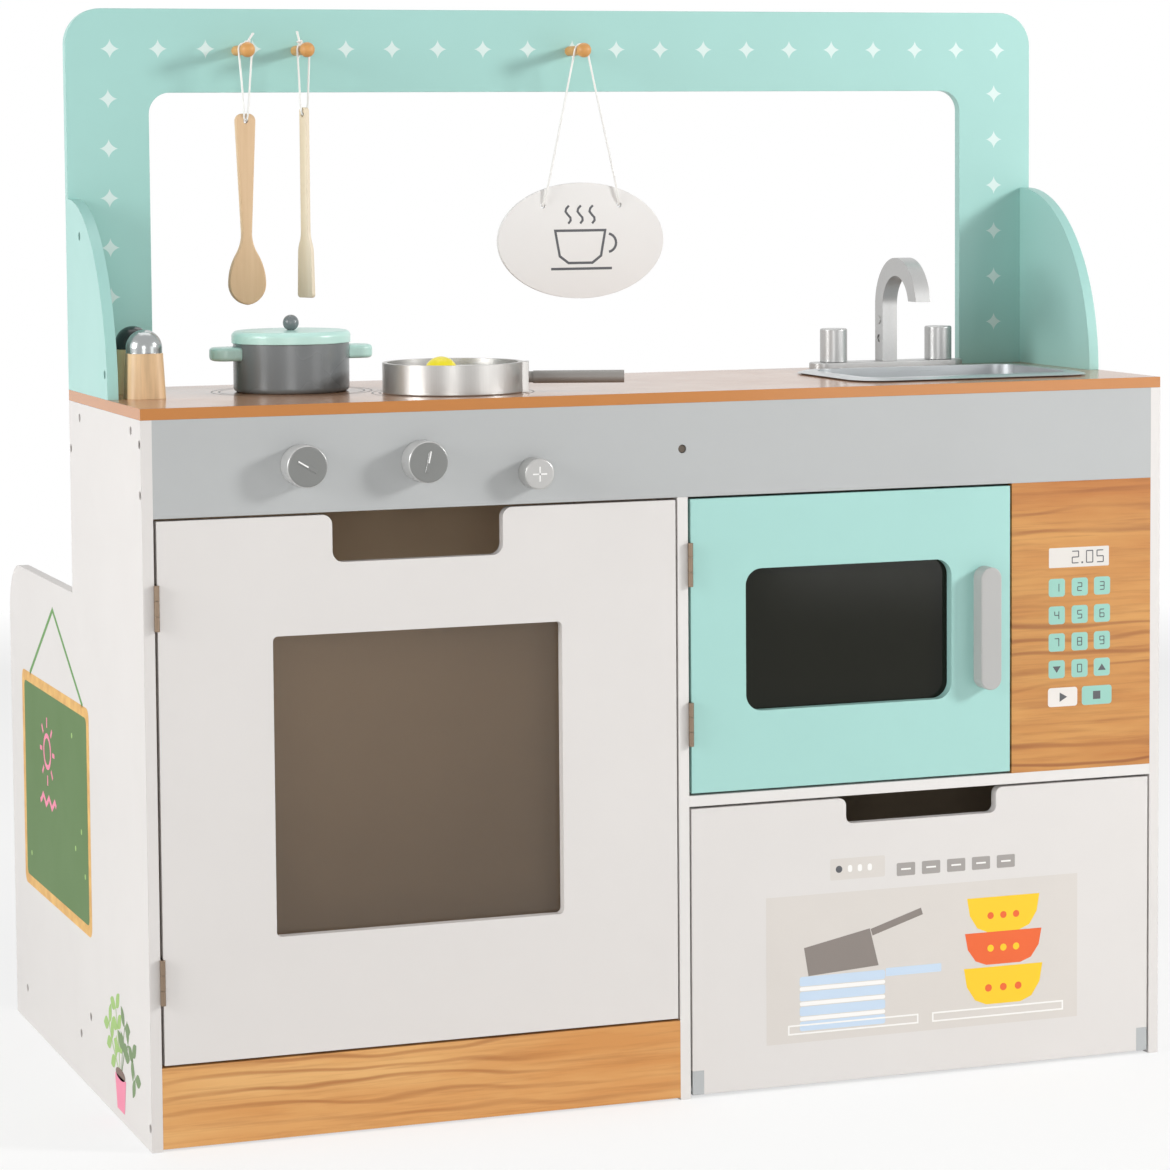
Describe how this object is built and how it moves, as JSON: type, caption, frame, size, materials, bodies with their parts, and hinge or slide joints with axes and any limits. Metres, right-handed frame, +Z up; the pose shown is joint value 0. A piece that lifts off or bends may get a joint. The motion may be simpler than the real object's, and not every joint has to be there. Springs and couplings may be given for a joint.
{
  "type": "play kitchen",
  "caption": "Wooden play kitchen with an arch, oven, microwave and dishwasher doors, sink, knobs and hanging utensils.",
  "frame": {"origin": "on the floor under the middle of the whole part, knobs included", "axes": "+Z up, +X along the width to the right seen from the front, -Y towards the child at the doors"},
  "size_m": [0.888, 0.546, 0.902],
  "materials": {
    "white_laminate": "satin white laminate on board",
    "taupe_laminate": "plain taupe laminate",
    "worktop_laminate": "glossy brown worktop laminate with an orange brown edge",
    "grey_laminate": "light grey laminate",
    "mint_paint": "mint laminate with small star print",
    "beech": "oiled beech",
    "zinc_screw": "zinc plated",
    "hinge_bronze": "bronzed steel",
    "catch_plastic": "white plastic",
    "clear_acrylic": "clear acrylic sheet",
    "dark_acrylic": "dark glossy acrylic",
    "smoke_plastic": "smoky moulded plastic",
    "silver_plastic": "silver paint on moulded plastic",
    "sink_steel": "brushed sheet steel",
    "knob_plastic": "grey face with silver side",
    "handle_paint": "warm grey paint on wood",
    "pot_paint": "grey paint on turned wood",
    "lid_paint": "mint paint on turned wood",
    "pan_silver": "silver paint on turned wood",
    "egg_white": "white paint on wood",
    "egg_yolk": "yellow paint on wood",
    "shaker_paint": "beech body with a painted dome",
    "oak_laminate": "oak grain print on board",
    "rod_paint": "grey paint on turned wood",
    "sign_paint": "white painted thin board",
    "string_cotton": "white cotton string"
  },
  "bodies": {
    "cabinet": {"left_side_panel": "white_laminate", "right_side_panel": "white_laminate", "worktop": "worktop_laminate", "control_fascia": "grey_laminate", "centre_divider": "white_laminate", "plinth": "oak_laminate", "oven_floor": "white_laminate", "microwave_floor": "white_laminate", "dishwasher_floor": "white_laminate", "kitchen_back_panel": "taupe_laminate", "keypad_panel": "oak_laminate", "rear_floor": "white_laminate", "rear_shelf": "white_laminate", "arch_panel": "mint_paint", "left_wing": "mint_paint", "right_wing": "mint_paint", "utensil_pegs": "beech", "panel_fasteners": "zinc_screw", "magnet_catches": "catch_plastic", "hinge_frame_leaves": "hinge_bronze", "hinge_pins": "hinge_bronze", "spindles": "zinc_screw", "sink_basin": "sink_steel", "faucet_deck": "silver_plastic", "faucet_left_half": "silver_plastic", "faucet_right_half": "silver_plastic", "faucet_fittings": "zinc_screw"},
    "oven_door_body": {"oven_door": "white_laminate", "oven_window": "clear_acrylic", "oven_hinge_leaves": "hinge_bronze", "oven_strike_plate": "zinc_screw"},
    "microwave_door_body": {"microwave_door": "mint_paint", "microwave_window": "dark_acrylic", "microwave_handle": "handle_paint", "microwave_hinge_leaves": "hinge_bronze", "microwave_strike_plate": "zinc_screw"},
    "dishwasher_door_body": {"dishwasher_door": "white_laminate", "dishwasher_pivots": "smoke_plastic", "dishwasher_strike_plate": "zinc_screw"},
    "left_knob_body": {"left_knob": "knob_plastic"},
    "middle_knob_body": {"middle_knob": "knob_plastic"},
    "small_knob_body": {"small_knob": "knob_plastic"},
    "left_tap_body": {"left_tap": "silver_plastic"},
    "right_tap_body": {"right_tap": "silver_plastic"},
    "pot": {"pot_body": "pot_paint", "pot_handles": "lid_paint"},
    "lid": {"pot_lid": "lid_paint", "pot_lid_knob": "pot_paint"},
    "pan": {"pan_body": "pan_silver", "pan_handle": "rod_paint"},
    "egg": {"egg_white": "egg_white", "egg_yolk": "egg_yolk"},
    "salt": {"salt_shaker": "shaker_paint"},
    "pepper": {"pepper_shaker": "shaker_paint"},
    "hanging_spoon": {"spoon": "beech", "spoon_string": "string_cotton"},
    "hanging_spatula": {"spatula": "beech", "spatula_string": "string_cotton"},
    "hanging_sign": {"sign_board": "sign_paint", "sign_string": "string_cotton"}
  },
  "joints": [
    {"name": "oven_door_hinge", "type": "hinge", "parent": "cabinet", "child": "oven_door_body", "pos_m": [-0.4338, -0.2545, 0.283], "axis": [0, 0, -1], "range_deg": [0, 105]},
    {"name": "microwave_door_hinge", "type": "hinge", "parent": "cabinet", "child": "microwave_door_body", "pos_m": [0.0114, -0.2545, 0.378], "axis": [0, 0, -1], "range_deg": [0, 105]},
    {"name": "dishwasher_door_hinge", "type": "hinge", "parent": "cabinet", "child": "dishwasher_door_body", "pos_m": [0.223, -0.2475, 0.0075], "axis": [1, 0, 0], "range_deg": [0, 90]},
    {"name": "left_knob_turn", "type": "hinge", "parent": "cabinet", "child": "left_knob_body", "pos_m": [-0.316, -0.262, 0.537], "axis": [0, -1, 0], "continuous": true},
    {"name": "middle_knob_turn", "type": "hinge", "parent": "cabinet", "child": "middle_knob_body", "pos_m": [-0.217, -0.262, 0.537], "axis": [0, -1, 0], "continuous": true},
    {"name": "small_knob_turn", "type": "hinge", "parent": "cabinet", "child": "small_knob_body", "pos_m": [-0.123, -0.26, 0.524], "axis": [0, -1, 0], "continuous": true},
    {"name": "left_tap_turn", "type": "hinge", "parent": "cabinet", "child": "left_tap_body", "pos_m": [0.2355, -0.036, 0.6], "axis": [0, 0, 1], "continuous": true},
    {"name": "right_tap_turn", "type": "hinge", "parent": "cabinet", "child": "right_tap_body", "pos_m": [0.3375, -0.036, 0.6], "axis": [0, 0, 1], "continuous": true},
    {"name": "pot_lift", "type": "slide", "parent": "cabinet", "child": "pot", "axis": [0, 0, 1], "range_m": [0, 0.08]},
    {"name": "lid_lift", "type": "slide", "parent": "pot", "child": "lid", "axis": [0, 0, 1], "range_m": [0, 0.08]},
    {"name": "pan_lift", "type": "slide", "parent": "cabinet", "child": "pan", "axis": [0, 0, 1], "range_m": [0, 0.12]},
    {"name": "egg_lift", "type": "slide", "parent": "pan", "child": "egg", "axis": [0, 0, 1], "range_m": [0, 0.12]},
    {"name": "salt_lift", "type": "slide", "parent": "cabinet", "child": "salt", "axis": [0, 0, 1], "range_m": [0, 0.2]},
    {"name": "pepper_lift", "type": "slide", "parent": "cabinet", "child": "pepper", "axis": [0, 0, 1], "range_m": [0, 0.2]},
    {"name": "spoon_swing", "type": "hinge", "parent": "cabinet", "child": "hanging_spoon", "pos_m": [-0.298, -0.034, 0.867], "axis": [0, 1, 0], "range_deg": [-7, 30]},
    {"name": "spatula_swing", "type": "hinge", "parent": "cabinet", "child": "hanging_spatula", "pos_m": [-0.2465, -0.034, 0.867], "axis": [0, 1, 0], "range_deg": [-30, 6]},
    {"name": "sign_swing", "type": "hinge", "parent": "cabinet", "child": "hanging_sign", "pos_m": [0, -0.034, 0.867], "axis": [0, 1, 0], "range_deg": [-25, 25]}
  ]
}
